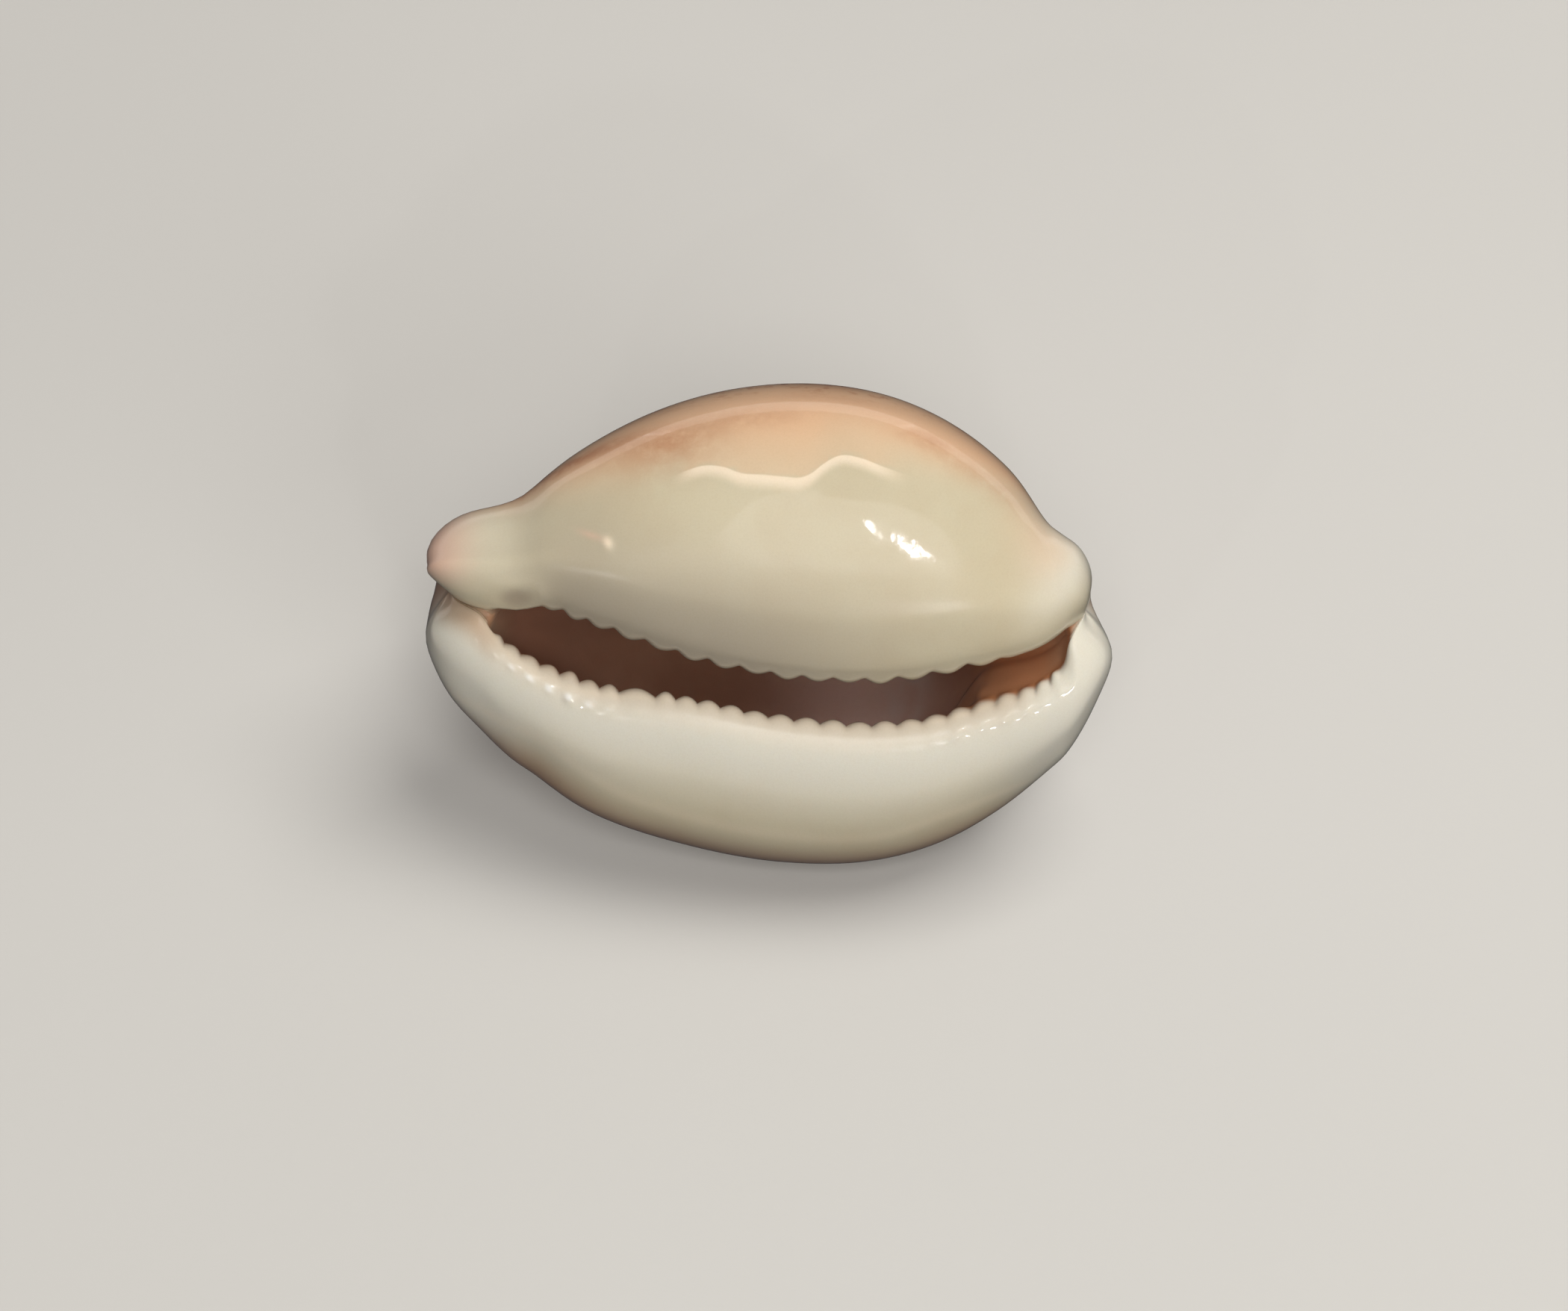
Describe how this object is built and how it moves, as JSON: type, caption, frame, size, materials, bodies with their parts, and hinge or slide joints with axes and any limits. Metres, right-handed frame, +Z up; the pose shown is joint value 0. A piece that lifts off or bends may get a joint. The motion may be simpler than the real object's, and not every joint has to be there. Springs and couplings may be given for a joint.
{
  "type": "cowrie shell",
  "caption": "Glossy egg-shaped cowrie shell with a long toothed slit along its flat base and a canal notch at each end, lying on its back.",
  "frame": {"origin": "centre of the footprint, at the level of the surface it rests on", "axes": "+X along the shell towards its spire end, -X to the front canal, +Z up. The shell lies on its back and outer lip, and the slit faces up and towards -Y"},
  "size_m": [0.0395, 0.0248, 0.0254],
  "materials": {
    "shell": "glossy natural shell, cream base and tan back"
  },
  "bodies": {
    "root": {"cowrie_shell": "shell"}
  },
  "joints": []
}
